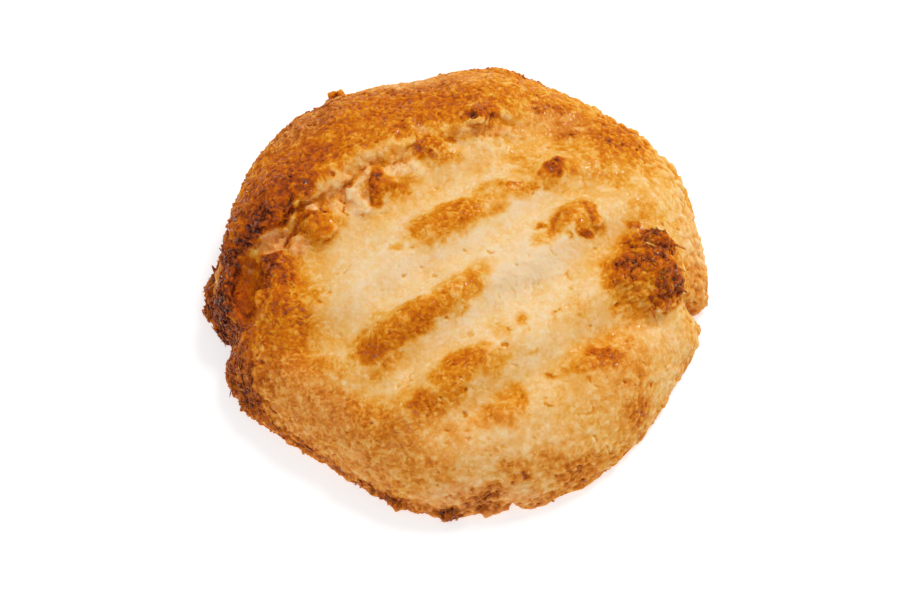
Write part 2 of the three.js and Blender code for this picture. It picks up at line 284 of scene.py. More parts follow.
# Browned patches, in the same order of values
BROWNED = [
    ("second ridge", -4.4, -7.8, 4.4, 1.3, 31, 0.56, 0.2),
    ("second ridge burnt end", -7.9, -9.9, 1.6, 0.9, 24, 0.68, 0.5),
    ("second ridge middle", -3.6, -7.9, 1.6, 0.7, 20, 0.62, 0.7),
    ("second ridge's upper left", -6.2, -7.6, 1.6, 0.6, 31, 0.50, 0.5),
    ("second ridge right end", 0.8, -4.0, 2.9, 1.35, 38, 0.46, 0.3),
    ("second ridge right spot", 1.7, -3.2, 0.5, 0.4, 38, 0.64, 0.5),
    ("second ridge upper right", 0.6, -6.3, 1.2, 0.4, 36, 0.40, 0.5),
    ("below the second ridge", -6.6, -11.4, 1.7, 0.6, 30, 0.43, 0.6),
    ("first ridge", -1.0, 3.0, 3.5, 1.5, 22, 0.50, 0.25),
    ("first ridge edge", 0.5, 3.9, 1.7, 1.0, 30, 0.60, 0.5),
    ("first ridge tail", 4.0, 6.0, 3.2, 0.9, 20, 0.43, 0.6),
    ("first ridge tail edge", 5.2, 7.2, 1.0, 0.35, -10, 0.58, 0.5),
    ("first ridge tail tip", 7.0, 6.9, 1.1, 0.4, 16, 0.54, 0.5),
    ("first ridge lower left", -2.2, 1.1, 1.4, 0.6, 20, 0.48, 0.5),
    ("first ridge crumb", 9.9, 9.2, 1.2, 0.9, 50, 0.84, 0.3),
    ("first ridge crumb foot", 8.8, 8.7, 0.6, 0.4, 20, 0.68, 0.5),
    ("first ridge crumb's trail", 8.4, 8.0, 1.0, 0.6, 0, 0.44, 0.6),
    ("first ridge crumb's right", 11.6, 9.2, 1.4, 0.8, 0, 0.53, 0.6),
    ("second ridge crumb left bit", 8.6, 2.7, 0.7, 0.35, -30, 0.54, 0.5),
    ("second ridge crumb left arm", 10.4, 3.2, 1.9, 0.75, 55, 0.60, 0.4),
    ("second ridge crumb top", 12.0, 4.9, 1.3, 0.8, 40, 0.46, 0.5),
    ("second ridge crumb middle", 12.4, 3.2, 0.8, 0.6, 0, 0.56, 0.5),
    ("second ridge crumb right arm", 13.4, 4.2, 1.6, 0.6, -63, 0.64, 0.4),
    ("second ridge crumb burnt corner", 12.8, 2.1, 0.9, 0.4, -10, 0.80, 0.4),
    ("third ridge", 0.5, -12.2, 2.9, 1.3, 30, 0.60, 0.35),
    ("third ridge foot", -0.3, -14.4, 1.1, 1.0, 0, 0.50, 0.5),
    ("third ridge left end", -2.6, -15.9, 1.7, 1.2, 24, 0.57, 0.4),
    ("third ridge burnt spot", -3.5, -15.5, 0.8, 0.6, 20, 0.70, 0.5),
    ("fourth ridge left end", 4.4, -16.7, 2.2, 1.1, 10, 0.51, 0.5),
    ("fourth ridge left end top", 6.3, -15.2, 0.5, 1.3, -10, 0.48, 0.5),
    ("fourth ridge tail", 12.4, -11.7, 2.0, 0.7, 20, 0.54, 0.5),
    ("fourth ridge", 14.4, -10.3, 1.6, 0.9, 12, 0.68, 0.4),
    ("fourth ridge speck", 9.2, -12.6, 0.4, 0.3, 0, 0.54, 0.5),
    ("lump ground", 18.8, -0.9, 3.2, 3.7, 10, 0.53, 0.15),
    ("lump amber foot", 15.1, -2.6, 0.9, 1.8, 10, 0.50, 0.4),
    ("lump top", 19.3, 1.4, 2.0, 1.3, 5, 0.77, 0.3),
    ("lump top's back edge", 20.0, 2.3, 1.2, 0.5, 0, 0.88, 0.4),
    ("lump left", 16.8, -1.3, 1.5, 1.1, 0, 0.82, 0.3),
    ("lump left foot", 16.3, -2.8, 1.3, 0.8, 0, 0.74, 0.4),
    ("lump middle", 19.2, -0.5, 1.2, 1.3, 0, 0.79, 0.5),
    ("lump right", 20.4, -2.3, 1.6, 1.8, 10, 0.75, 0.3),
    ("lump right edge", 21.8, -2.2, 0.6, 1.1, -8, 0.88, 0.4),
    ("lump front", 20.1, -4.3, 1.2, 0.7, 10, 0.74, 0.4),
    ("lump's dark middle", 19.9, -0.1, 0.7, 0.6, 0, 0.86, 0.4),
    ("lump small crumb", 17.5, 3.4, 0.7, 0.4, 0, 0.60, 0.5),
    ("upper step crumb", -2.5, 11.1, 1.3, 0.9, -10, 0.64, 0.35),
    ("gold beside the upper step crumb", -0.9, 10.0, 1.4, 0.6, 24, 0.48, 0.6),
    ("middle step crumb", -7.8, 6.8, 0.8, 1.8, -5, 0.84, 0.3),
    ("middle step crumb's arm", -6.6, 7.0, 1.0, 0.6, 10, 0.66, 0.4),
    ("middle step crumb's tail", -5.2, 7.0, 0.6, 0.6, 0, 0.46, 0.5),
    ("lower step crumb", -13.5, 2.8, 1.5, 1.5, -20, 0.60, 0.3),
    ("lower step crumb's left", -14.2, 3.4, 0.5, 0.9, 0, 0.74, 0.5),
    ("bit below the step", -13.5, 0.6, 0.6, 0.3, 0, 0.46, 0.5),
    ("lip crumb", 2.5, 14.5, 1.3, 0.8, 20, 0.82, 0.35),
    ("lip crumb tail", 2.9, 15.2, 1.2, 0.7, 0, 0.74, 0.5),
    ("lip top", -2.6, 15.8, 5.6, 1.7, 20, 0.64, 0.7),
    ("lip back streak", 9.6, 17.0, 1.9, 0.6, 10, 0.66, 0.5),
    ("behind the lip crumb", 4.3, 17.4, 2.4, 1.6, -6, 0.60, 0.6),
    ("back left crumb", -12.1, 19.2, 1.4, 1.2, 20, 0.66, 0.5),
    ("lip end streak", 11.4, 14.2, 1.1, 0.5, 10, 0.56, 0.5),
    ("left lip brow", -18.9, 4.3, 3.5, 1.5, 36, 0.81, 0.4),
    ("left lip brow's front", -18.7, 3.1, 1.9, 0.8, 5, 0.98, 0.35),
    ("left lip brow's hill", -16.4, 6.7, 2.5, 1.6, 42, 0.86, 0.5),
    ("left lip brow's end", -16.9, 4.4, 1.0, 0.7, 0, 0.86, 0.4),
    ("left lip brow's far end", -15.0, 6.5, 1.2, 0.8, 30, 0.80, 0.5),
    ("left lip brow's near end", -20.8, 1.9, 0.8, 0.8, 0, 0.92, 0.5),
    ("lip over the chunks", -11.9, 8.0, 1.2, 0.6, 30, 0.60, 0.5),
    ("lip over the inner face", -14.8, 6.0, 0.9, 0.5, 10, 0.76, 0.4),
    ("lower step crumb's back", -15.1, 3.8, 0.6, 0.7, 0, 0.72, 0.4),
    ("lower step crumb's middle", -13.0, 2.3, 0.8, 0.7, 0, 0.68, 0.5),
    ("left lip", -18.9, 5.9, 4.2, 2.1, 36, 0.77, 0.4),
    ("left lip top", -15.6, 8.7, 3.0, 1.7, 40, 0.74, 0.6),
    ("left bank crumb", -17.9, -0.4, 1.4, 1.2, 30, 0.92, 0.35),
    ("left bank crumb's foot", -17.3, -2.2, 1.5, 1.0, -10, 0.76, 0.5),
    ("left bank's lower crumb", -17.8, -4.7, 1.2, 1.3, 0, 0.72, 0.5),
    ("left bank orange spot", -14.8, -6.4, 0.8, 0.9, -30, 0.58, 0.5),
    ("side pocket", -20.5, -1.7, 1.5, 3.2, 0, 0.56, 0.4),
    ("pocket's outer wall", -22.7, -0.8, 1.25, 3.6, 0, 0.92, 0.4),
    ("pocket's burnt foot", -22.5, -3.8, 1.1, 2.0, 0, 1.00, 0.4),
    ("pocket's burnt top", -21.9, 0.6, 0.7, 1.5, -10, 0.90, 0.5),
    ("pocket's lower end", -20.9, -5.7, 1.4, 1.4, 0, 0.80, 0.5),
    ("lower left edge", -20.8, -8.8, 1.2, 3.2, 12, 0.74, 0.5),
    ("front flake", -0.7, -24.4, 1.9, 0.7, 0, 0.84, 0.4),
    ("front wedge", 3.2, -22.8, 1.6, 0.5, 10, 0.58, 0.6),
    ("front burnt edge", 1.8, -23.2, 1.4, 0.5, 0, 0.56, 0.5),
    ("front speck", 6.5, -21.4, 0.42, 0.12, 0, 0.74, 0.5),
    ("front left speck", -2.0, -20.6, 1.0, 0.4, 0, 0.54, 0.6),
    ("front right rim", 12.0, -20.4, 2.6, 0.7, 30, 0.56, 0.7),
    ("front right rim spot", 17.6, -14.4, 1.7, 1.1, 60, 0.52, 0.6),
    ("lower left foot", -21.0, -11.0, 1.1, 3.8, 30, 0.80, 0.5),
    ("lower left foot's amber bit", -18.9, -13.0, 0.4, 0.7, 0, 0.58, 0.5),
    ("back right spot", 15.9, 13.5, 2.2, 1.2, -20, 0.64, 0.6),
    ("right rim", 24.2, -1.3, 1.5, 2.4, 0, 0.47, 0.4),
    ("small spot a", 6.2, -7.3, 0.5, 0.7, 0, 0.45, 0.5),
    ("small spot b", 4.3, -8.4, 0.7, 0.5, 0, 0.32, 0.6),
    ("small spot c", -5.6, 0.3, 0.5, 0.4, 0, 0.36, 0.5),
    ("small spot d", 7.4, -10.6, 0.6, 0.25, 20, 0.47, 0.5),
    ("small dash", 9.8, -6.3, 0.35, 0.10, 0, 0.56, 0.5),
    # Painted shade of a fine crack, with no relief below it
    ("painted shade of a small crack", 9.0, -15.3, 0.5, 0.12, -8, 0.60, 0.5),
    ("small spot e", 11.0, -3.9, 0.3, 0.25, 30, 0.36, 0.6),
    ("small spot f", -10.4, -12.6, 0.3, 0.25, 0, 0.44, 0.5),
    ("small spot g", 11.2, 1.5, 0.35, 0.25, 0, 0.48, 0.5),
]

# Fresh breaks where the inside shows, in the same order, with the share of the inside's own colour; the rows
# for crevices, cracks, the hollow, the hole and shade are painted shade
TORN = [
    ("face above the chunks", -9.2, 8.8, 3.2, 0.8, 36, 0.31, 0.5, 0.4),
    ("face above the upper chunk", -5.2, 10.0, 1.4, 0.5, 24, 0.36, 0.4, 0.4),
    ("face under the brow", -12.2, 6.3, 1.5, 0.7, 10, 0.33, 0.4, 0.5),
    ("left chunk", -17.6, 1.6, 1.7, 1.1, 20, 0.30, 0.12, 1.0),
    ("gold beside the left chunk", -19.5, 0.9, 0.6, 0.4, 0, 0.46, 0.5, 0.2),
    ("crevice between the chunks", -16.0, 2.1, 1.3, 0.36, 64, 0.66, 0.3, 0.4),
    ("left chunk's foot", -15.2, 1.0, 1.0, 0.9, 30, 0.40, 0.12, 1.0),
    ("shade beside the lower step crumb", -15.0, 1.6, 0.45, 0.45, 0, 0.56, 0.4, 0.6),
    ("inner face", -13.8, 4.8, 1.0, 0.65, -22, 0.34, 0.15, 0.7),
    ("crack under the inner face", -12.9, 4.4, 0.6, 0.14, -40, 0.80, 0.4, 0.2),
    ("cream bit", -11.6, 4.6, 1.2, 0.5, -50, 0.28, 0.15, 0.6),
    ("cream chunk", -9.6, 5.2, 1.6, 1.2, -50, 0.22, 0.12, 0.8),
    ("cream chunk's arm", -8.9, 7.6, 1.0, 0.5, 50, 0.30, 0.2, 0.6),
    ("cream chunk's shade", -8.9, 6.1, 0.5, 0.5, 0, 0.42, 0.4, 0.5),
    ("crack beside the cream chunk", -10.8, 4.7, 1.3, 0.07, -70, 0.64, 0.5, 0.4),
    ("brown edge of the inner face", -15.2, 4.0, 0.6, 0.6, 0, 0.71, 0.3, 0.2),
    ("hollow over the cream chunk", -10.3, 7.1, 0.6, 0.3, 20, 0.58, 0.4, 0.3),
    ("small hole", -9.1, 3.9, 0.22, 0.12, 20, 0.72, 0.5, 0.4),
    ("upper cream chunk", -5.2, 8.8, 1.7, 0.55, 15, 0.18, 0.12, 1.0),
    ("cream flake over the lip", -3.4, 12.9, 0.8, 0.45, -10, 0.26, 0.2, 0.6),
    ("right face", 3.4, 13.3, 3.6, 0.5, 12, 0.40, 0.5, 0.5),
    ("pale flake on the left side", -19.1, -9.1, 0.4, 0.5, 0, 0.34, 0.2, 0.4),
    ("pale back edge", -5.0, 20.2, 6.5, 0.9, 6, 0.42, 0.6, 0.6),
    ("pale middle", 6.0, -3.3, 2.6, 1.5, 30, 0.0, 0.9, 0.0),
    ("golden back of the lip", -8.6, 12.6, 1.6, 1.0, 30, 0.48, 0.7, 0.1),
    ("pale ledge", -11.0, 6.3, 0.8, 0.5, 0, 0.24, 0.3, 0.7),
    ("pale edge of the left foot", -23.9, 0.4, 0.8, 1.8, 0, 0.46, 0.4, 0.7),
]

# Where the crust is dustier and less golden: the oval, the share of the inside's colour, softness of the edge
DUSTY = [
    ("front", 2.0, -21.0, 17.0, 4.6, 0, 0.40, 0.5),
    ("back", -4.0, 19.8, 7.0, 1.8, 4, 0.7, 0.5),
    ("back left", -14.6, 15.6, 4.5, 2.4, 42, 0.95, 0.5),
    ("back right", 10.5, 15.5, 3.0, 1.8, -20, 0.5, 0.5),
    ("right edge", 24.2, 2.4, 1.6, 5.0, 0, 0.6, 0.5),
    ("front foot", 2.5, -23.2, 9.0, 1.3, 2, 0.95, 0.5),
    ("front left foot", -9.5, -20.2, 4.5, 1.6, -24, 0.7, 0.5),
    ("front left", -14.6, -15.8, 8.4, 4.2, -38, 0.55, 0.5),
    ("lower left foot", -21.3, -10.9, 1.6, 3.0, 24, 0.6, 0.5),
    ("front right", 19.4, -11.4, 8.0, 4.6, 44, 0.34, 0.6),
]

WANDER = 0.55  # how far the patches' outlines stray
FRAY = 0.32  # how ragged they are
PALE_DOUGH = 0.09  # browning of the middle
FOOT_BROWNING = 0.55  # browning of the underside and of the lowest 2 mm, which lay on the tray
HALO = 1.7  # width of the golden crust round each browned patch
HALO_BROWNING = 0.62  # share of the patch's own browning


def pores(points):
    """1 in the rare small pits of the crust."""
    return smooth(fold_noise(points, 0.85, 25), 0.60, 0.74)


def cracks(points):
    """1 along a few short fine cracks."""
    line = bell(fold_noise(points, 1.5, 31), 0.055)
    return line * smooth(fold_noise(points, 1.8, 32), 0.42, 0.56)


def jag(points):
    """Places pushed about at random, so that what is drawn from them gets ragged edges."""
    return points + 0.38 * sway(points, 0.5, 35)


def torn_edges(points):
    """Places pushed about for the outlines of the fresh breaks."""
    return points + 0.22 * sway(points, 0.7, 37) + 0.6 * (jag(points) - points)


def clear_of_brow(points):
    """0 on the burnt brow that hangs over the left chunks, 1 elsewhere."""
    return 1.0 - smooth(points[:, 2], *BROW_FOOT) * (1.0 - smooth(points[:, 0], *BROW_RIGHT_END))


def breaks(points):
    """Of each fresh break: 1 where it lies and 0 elsewhere, its browning and its share of the inside."""
    ragged = torn_edges(points)
    open_break = clear_of_brow(points)
    for _, *place, depth, soft, inside in TORN:
        yield spot(ragged, *place, soft) * open_break, depth, inside


def rim_tones(points):
    """At each point's bearing: the rim's browning, how far in that reaches, and the low side's browning."""
    bearing = np.degrees(np.arctan2(points[:, 1], points[:, 0])) % 360.0
    bearings, *columns = np.array(RIM_BROWNING).T
    return [np.interp(bearing, bearings, column) for column in columns]


def broad_tones(points, moved):
    """Pale in the grooves, golden on the broad grounds, and browner along the rim and on the lip."""
    share = plan_share(moved)
    along, across = tine_frame(moved)
    grooves = 0.5 + 0.5 * np.cos((across - FIRST_GROOVE) * math.tau / TINE_PITCH)
    clouds = 0.07 * fold_noise(points, 3.4, 5)
    brown = PALE_DOUGH - 0.05 * grooves + clouds + 0.09 * smooth(share, 0.35, 0.9)
    for _, *place, depth, soft in GOLDEN:
        brown = np.maximum(brown, brown + (depth - brown) * spot(moved, *place, soft))
    rim_brown, rim_reach, _ = rim_tones(moved)
    rim = rim_brown * smooth(share, rim_reach, 1.02)
    behind_edge = lip_line(along) - across
    lip = 0.40 * smooth(behind_edge, -1.4, -0.4) + 0.22 * smooth(behind_edge, 0.4, 2.8)
    return np.maximum(np.maximum(brown, rim), lip * lip_reach(along))


def brown_patches(brown, moved):
    """Browns the crust in the patches of the table, each with a golden halo."""
    for _, x, y, long, wide, turn, depth, soft in BROWNED:
        near = oval(moved, x, y, long, wide, turn)
        size = math.sqrt(long * wide)
        reach = HALO * min(1.0, size) * min(1.0, 2.0 * (1.1 - depth))
        halo = HALO_BROWNING * depth * (1.0 - smooth((near - 1.0) * size, -0.2, reach))
        core = 1.0 - smooth(near, 0.9 - soft, 1.1 + soft)
        brown = np.maximum(brown, halo)
        brown = np.maximum(brown, brown + (depth - brown) * core)
    return brown


def browning(points):
    """How brown the crust is at each point in mm: 0 is pale dough, 1 is burnt; pits, cracks and crevices also
    get painted shade.
    """
    moved = points + WANDER * sway(points, 2.2, 1) + FRAY * sway(points, 0.8, 3)
    brown = brown_patches(broad_tones(points, moved), moved)
    for patch, depth, _ in breaks(points):
        brown = brown + (depth - brown) * patch
    height = points[:, 2] + 0.6 * fold_noise(points, 1.4, 8)
    foot = FOOT_BROWNING * (1.0 - smooth(height, 0.7, 2.0))
    low_side = rim_tones(moved)[2] * (1.0 - smooth(height, 1.8, 3.6)) * smooth(plan_share(moved), 0.8, 0.9)
    brown = np.maximum(brown, np.maximum(foot, low_side))
    clouds = 0.08 * fold_noise(points, 2.4, 6)
    specks = 0.20 * (smooth(fold_noise(points, 0.9, 7), -0.1, 0.6) - 0.25)
    patchy = (clouds - specks) * (1.0 - 0.8 * smooth(brown, 0.5, 0.85))
    # Painted shade: the pits and cracks are painted browner than the crust round them
    marks = 0.08 * pores(points) + 0.10 * cracks(points)
    crust = brown + patchy * (0.22 + brown) + marks
    off_tray = smooth(points[:, 2], 0.0, 0.3)
    return np.clip(FOOT_BROWNING + (crust - FOOT_BROWNING) * off_tray, 0.0, 1.0)


def inside_share(points):
    """How far the inside's colours show: on the fresh breaks, and a little where the crust is dusty."""
    share = 0.0 * points[:, 2]
    for patch, _, inside in breaks(points):
        share = share + (inside - share) * patch
    for _, *place, depth, soft in DUSTY:
        share = np.maximum(share, depth * spot(points, *place, soft))
    return share


# Body -----------------------------------------------------------------------------------------------


def gather(items, name, width, kind=float):
    """One row of values for each of a mesh's items."""
    values = np.empty(len(items) * width, dtype=kind)
    items.foreach_get(name, values)
    return values.reshape(-1, width)


def mesh_points(mesh):
    return gather(mesh.vertices, "co", 3) / MM


def mesh_normals(mesh):
    return gather(mesh.vertices, "normal", 3)


def set_points(mesh, points):
    mesh.vertices.foreach_set("co", (points * MM).ravel())
    mesh.update()


def paint(mesh, name, values):
    layer = mesh.attributes.new(name, "FLOAT", "POINT")
    layer.data.foreach_set("value", values)


def shade_rounded(mesh, rounded=True):
    mesh.polygons.foreach_set("use_smooth", [rounded] * len(mesh.polygons))


def new_piece(name, mesh):
    piece = bpy.data.objects.new(name, mesh)
    bpy.context.scene.collection.objects.link(piece)
    return piece


def apply_modifier(piece, kind, **settings):
    modifier = piece.modifiers.new(kind.lower(), kind)
    for key, value in settings.items():
        setattr(modifier, key, value)
    evaluated = piece.evaluated_get(bpy.context.evaluated_depsgraph_get())
    mesh = bpy.data.meshes.new_from_object(evaluated)
    piece.modifiers.clear()
    old, piece.data = piece.data, mesh
    bpy.data.meshes.remove(old)


def remesh(piece, spacing):
    apply_modifier(piece, "REMESH", mode="VOXEL", voxel_size=spacing, use_smooth_shade=True)


def ease_above(skin, height, rounds):
    """Eases a skin's points, apart from those that lie lower than the height in mm."""
    upper = [v for v in skin.verts if v.co.z > height * MM]
    for _ in range(rounds):
        bmesh.ops.smooth_vert(
            skin, verts=upper, factor=0.5, use_axis_x=True, use_axis_y=True, use_axis_z=True
        )


# Clods stuck to the crust: centre, rise of the top over the crust, length, width, height, turn in degrees
CLODS = [
    ("left lip brow", -18.8, 4.0, 0.4, 3.8, 2.0, 2.4, 32),
    ("left lip brow's tip", -17.2, 3.2, 0.25, 1.4, 0.7, 1.2, -8),
    ("left lip brow's end", -16.1, 5.0, 0.3, 2.6, 2.0, 2.4, 55),
    ("left chunk", -17.6, 1.5, 0.45, 3.8, 2.4, 2.4, 22),
    ("left chunk's foot", -15.2, 1.0, 0.4, 2.4, 2.1, 2.0, 30),
    ("lower step crumb", -13.1, 2.8, 0.05, 3.4, 2.8, 1.7, -20),
    ("inner face", -14.0, 4.9, 0.45, 2.6, 1.6, 2.4, -22),
    ("ledge under the brow", -12.4, 6.1, 0.5, 2.6, 1.4, 2.0, 10),
    ("cream bit", -11.6, 4.6, 0.3, 2.6, 1.3, 2.0, -50),
    ("cream chunk", -9.6, 5.2, 0.45, 3.3, 2.6, 2.2, -50),
    ("cream chunk's arm", -8.9, 7.6, 0.2, 2.2, 1.2, 1.8, 50),
    ("middle step crumb", -7.9, 6.9, 0.6, 1.8, 3.6, 2.4, -5),
    ("middle step crumb's arm", -6.6, 7.0, 0.35, 2.2, 1.4, 1.8, 10),
    ("upper cream chunk", -5.2, 8.8, 0.5, 3.6, 1.4, 2.2, 15),
    ("upper cream chunk's end", -3.3, 9.2, 0.3, 1.2, 1.3, 1.6, 60),
    ("upper step crumb", -2.5, 11.1, 0.45, 2.8, 2.2, 2.2, -10),
    ("cream flake", -3.4, 12.9, 0.3, 1.5, 1.0, 1.2, -10),
    ("lip crumb", 2.2, 14.6, 0.4, 2.6, 1.7, 1.5, 30),
    ("first ridge crumb", 10.0, 9.6, 0.4, 2.2, 1.5, 1.4, 48),
    ("right arm crumb", 13.4, 4.1, 0.3, 3.0, 1.2, 1.4, -63),
    ("left arm crumb", 10.5, 3.1, 0.2, 3.2, 1.2, 1.2, 55),
    ("left bank crumb", -17.6, -0.2, 0.4, 2.8, 2.6, 2.0, 30),
    ("pocket wall crumb", -18.6, -4.2, 0.4, 1.6, 2.4, 1.6, 20),
    ("lump top", 19.4, 1.5, 0.45, 4.4, 2.6, 2.4, 5),
    ("lump top's corner", 21.1, 2.1, 0.35, 1.6, 1.3, 2.0, -30),
    ("lump left", 16.9, -1.1, 0.35, 2.6, 2.0, 2.0, 0),
    ("lump left foot", 16.4, -2.8, 0.2, 2.0, 1.6, 1.6, 0),
    ("lump middle", 18.8, -0.2, 0.25, 2.0, 1.6, 1.8, 0),
    ("lump hollow", 18.3, -3.2, 0.0, 2.0, 2.6, 1.6, 0),
    ("lump right", 20.5, -2.0, 0.5, 3.0, 3.0, 2.6, 0),
    ("lump right edge", 21.9, -2.1, 0.3, 1.4, 1.9, 2.4, 0),
    ("lump front", 20.0, -4.4, 0.3, 3.0, 1.7, 2.2, 15),
]

# Flat scraps of the base that stick out over the tray, in the same order, with the top's height over the tray
SCRAPS = [
    ("front flake", -1.3, -22.8, 0.9, 3.0, 1.8, 0.9, 4),
    ("front right flake", 3.7, -22.7, 1.0, 3.6, 2.0, 1.0, 4),
    ("right rim", 24.1, -0.3, 3.6, 2.6, 5.0, 3.6, 0),
    ("front tooth", 7.2, -21.7, 1.0, 1.6, 1.7, 0.9, 20),
    ("front left tooth", -5.6, -22.6, 0.9, 1.6, 1.4, 0.8, -20),
    ("lower left flake", -20.5, -9.2, 2.2, 1.2, 4.6, 2.1, 24),
    ("lower left flake's end", -20.2, -12.4, 1.8, 1.4, 3.0, 1.8, 36),
    ("left foot shred", -23.3, 1.0, 3.4, 0.8, 2.6, 0.8, 20),
    ("left foot", -22.9, -1.8, 2.6, 1.6, 3.6, 2.4, 8),
    ("back left crumb", -12.1, 20.6, 4.4, 2.4, 1.8, 3.0, 20),
    ("back left second crumb", -16.2, 17.0, 4.2, 1.8, 1.6, 1.8, 40),
]

# Bites out of the edge, and bulges where the depth is below 0: bearing in degrees, half width, depth and
# the height that they reach up to
NOTCHES = [
    ("right notch", 353.0, 0.35, 1.2, 12.0),
    ("front nick", 284.0, 0.5, 1.3, 1.8),
    ("back left nick", 128.5, 1.1, 1.6, 9.0),
    ("back right bulge", 42.0, 1.7, -0.35, 12.0),
    ("lower left bulge", 219.0, 1.8, -0.4, 9.0),
    ("right bulge", 345.5, 2.0, -0.5, 12.0),
    ("bulge below the right notch", 350.2, 0.6, -0.7, 12.0),
    ("right edge bulge", 8.0, 1.6, -0.3, 12.0),
    ("back bulge", 79.0, 2.0, -0.3, 12.0),
    ("upper right bulge", 25.5, 2.4, -0.25, 12.0),
    ("left bite", 196.8, 1.2, 1.0, 12.0),
    ("left edge nick", 175.5, 2.0, 0.45, 12.0),
]

# A clod starts as a ball of about unit width, which flat cuts at random make angular
CLOD_RADIUS = 0.58
CLOD_CUTS = 11
CLOD_CUT_REACH = (0.30, 0.48)  # from the middle to the cut


def add_clod(skin, x, y, top, long, wide, high, turn, seed):
    """A rough block, to be melted into the body."""
    made = bmesh.ops.create_icosphere(skin, subdivisions=4, radius=CLOD_RADIUS)["verts"]
    layer = Vector((7.3 * seed, -3.1 * seed, 1.7 * seed))
    picker = np.random.default_rng(seed)
    cuts = []
    for _ in range(CLOD_CUTS):
        facing = Vector(picker.normal(size=3)).normalized()
        cuts.append((facing, picker.uniform(*CLOD_CUT_REACH)))
    for v in made:
        for facing, reach in cuts:
            v.co -= facing * max(0.0, v.co.dot(facing) - reach)
        v.co *= 1.0 + 0.10 * noise.noise(v.co * 9.0 - layer)
    place = Matrix.Translation(Vector((x, y, top - high / 2)) * MM)
    size = Matrix.Diagonal((long * MM, wide * MM, high * MM, 1.0))
    bmesh.ops.transform(skin, matrix=place @ Matrix.Rotation(math.radians(turn), 4, "Z") @ size, verts=made)


def copy_solid(node):
    """The solid's skin, welded and eased so that its facets are gone, with the clods and scraps."""
    skin = bmesh.new()
    skin.from_mesh(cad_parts[node].data)
    bmesh.ops.remove_doubles(skin, verts=skin.verts, dist=0.001 * MM)
    bmesh.ops.subdivide_edges(skin, edges=skin.edges, cuts=1, use_grid_fill=True)
    ease_above(skin, 0.02, 3)
    tree = BVHTree.FromBMesh(skin)
    for seed, (_, x, y, rise, *size) in enumerate(CLODS):
        hit = tree.ray_cast(Vector((x * MM, y * MM, 2 * cad_high.z)), Vector((0, 0, -1)))[0]
        add_clod(skin, x, y, hit.z / MM + rise, *size, seed)
    for seed, (_, *scrap) in enumerate(SCRAPS, len(CLODS)):
        add_clod(skin, *scrap, seed)
    mesh = bpy.data.meshes.new("body")
    skin.to_mesh(mesh)
    skin.free()
    return mesh


# The torn lip: how far the brow's middle lies behind the torn edge, and the face's and the crevice's in front
BROW_BEHIND = 1.3
FACE_AHEAD = 0.9
CREVICE_AHEAD = 0.3
OVERHANG = 0.8


def tear_lip(points):
    """Pulls the lip's brow out over the trough, breaks its face into flakes and cuts the crevice below it."""
    along, across = tine_frame(points)
    gap = across - lip_line(along)
    reach = lip_reach(along) * smooth(points[:, 2], 3.0, 5.0)
    flakes = flake_noise(jag(points), 1.4, 11)
    ragged = 0.8 * flakes + 0.4 * fold_noise(points, 0.6, 12)
    brow = bell(gap + BROW_BEHIND, 1.0) * smooth(points[:, 2], 5.0, 8.0) * reach
    face = bell(gap - FACE_AHEAD, 1.5) * reach
    crevice = bell(gap - CREVICE_AHEAD, 0.4) * reach * (0.25 + 0.4 * ragged)
    overhang = OVERHANG + 0.4 * smooth(-along, 9.0, 11.0) - 0.6 * smooth(-along, 12.5, 15.0)
    pull = brow * (overhang + 0.8 * ragged) + face * 0.35 * flake_noise(points, 1.9, 13)
    outwards = np.array([math.sin(TINE_TURN), -math.cos(TINE_TURN), 0.0])
    moved = points + pull[:, None] * outwards
    moved[:, 2] -= crevice + 0.25 * brow * ragged + face * 0.22 * flake_noise(points, 1.2, 14)
    return moved


def bite_edge(points):
    """Cuts the bites into the side, and swells the bulges."""
    radius = np.hypot(points[:, 0], points[:, 1])
    bearing = np.arctan2(points[:, 1], points[:, 0])
    outer = smooth(plan_share(points), 0.88, 0.98)
    moved = points.copy()
    for _, middle, half_width, depth, top in NOTCHES:
        off = radius * np.sin(bearing - math.radians(middle))
        ahead = np.cos(bearing - math.radians(middle)) > 0.0
        bite = depth * bell(off, half_width) * ahead * outer
        bite = bite * (1.0 - smooth(points[:, 2], 0.7 * top, top))
        moved[:, :2] *= (1.0 - bite / np.maximum(radius, 1.0))[:, None]
    return moved


# How high each size of crumb stands: on pale dough, and what the crust, the side and the back edge add
CLUMP_HEIGHT = (0.02, 0.05, 0.07, 0.22)
CRUMB_HEIGHT = (0.03, 0.05, 0.09, 0.10)
GRAIN_HEIGHT = (0.015, 0.05, 0.05, 0.0)


